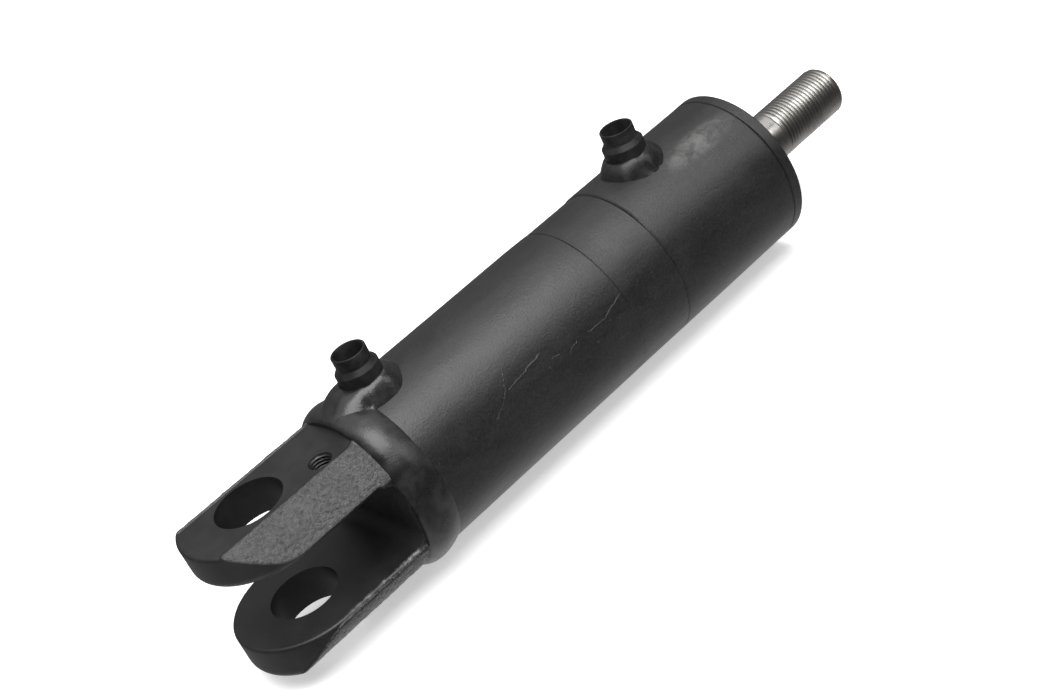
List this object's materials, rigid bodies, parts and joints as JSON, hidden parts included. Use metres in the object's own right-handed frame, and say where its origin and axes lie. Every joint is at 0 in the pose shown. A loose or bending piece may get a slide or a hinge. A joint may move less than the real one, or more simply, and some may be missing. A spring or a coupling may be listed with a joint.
{
  "type": "double-acting hydraulic cylinder with clevis base",
  "caption": "Retracted double-acting hydraulic cylinder: welded clevis base, plain barrel, two welded port stubs on one side, screwed gland and a threaded rod end.",
  "frame": {"origin": "on the clevis pin's axis, midway between the two ears", "axes": "+X along the cylinder towards the rod end, +Z along the pin's axis towards the side the ports stand on"},
  "size_m": [0.3973, 0.0852, 0.1014],
  "materials": {
    "clevis_paint": "satin black over a forged surface",
    "weld_paint": "gloss black over weld",
    "barrel_paint": "semi-gloss black",
    "rod_steel": "ground rod with a bare cut thread",
    "turned_steel": "turned",
    "bronze": "bronze bushing",
    "nitrile": "matt",
    "sealing": "polyurethane",
    "guide": "filled plastic"
  },
  "bodies": {
    "housing": {"clevis_base": "clevis_paint", "base_weld": "weld_paint", "barrel_tube": "barrel_paint", "head_body": "barrel_paint", "port_nipple_base": "barrel_paint", "port_nipple_head": "barrel_paint", "port_weld_base": "weld_paint", "port_weld_head": "weld_paint", "gland": "barrel_paint", "gland_bushing": "bronze", "rod_seal": "sealing", "rod_wiper": "sealing", "gland_oring": "nitrile", "gland_backup_ring": "guide"},
    "piston_rings": {"piston_seal": "sealing", "piston_seal_energiser": "nitrile", "piston_wear_ring_rear": "guide", "piston_wear_ring_front": "guide"},
    "rod": {"piston_rod": "rod_steel", "piston": "turned_steel", "piston_lock_nut": "turned_steel", "piston_oring": "nitrile"}
  },
  "joints": [
    {"name": "rod_slide", "type": "slide", "parent": "housing", "child": "piston_rings", "axis": [1, 0, 0], "range_m": [0, 0.111]},
    {"name": "rod_spin", "type": "hinge", "parent": "piston_rings", "child": "rod", "pos_m": [0, 0, 0], "axis": [1, 0, 0], "continuous": true}
  ]
}
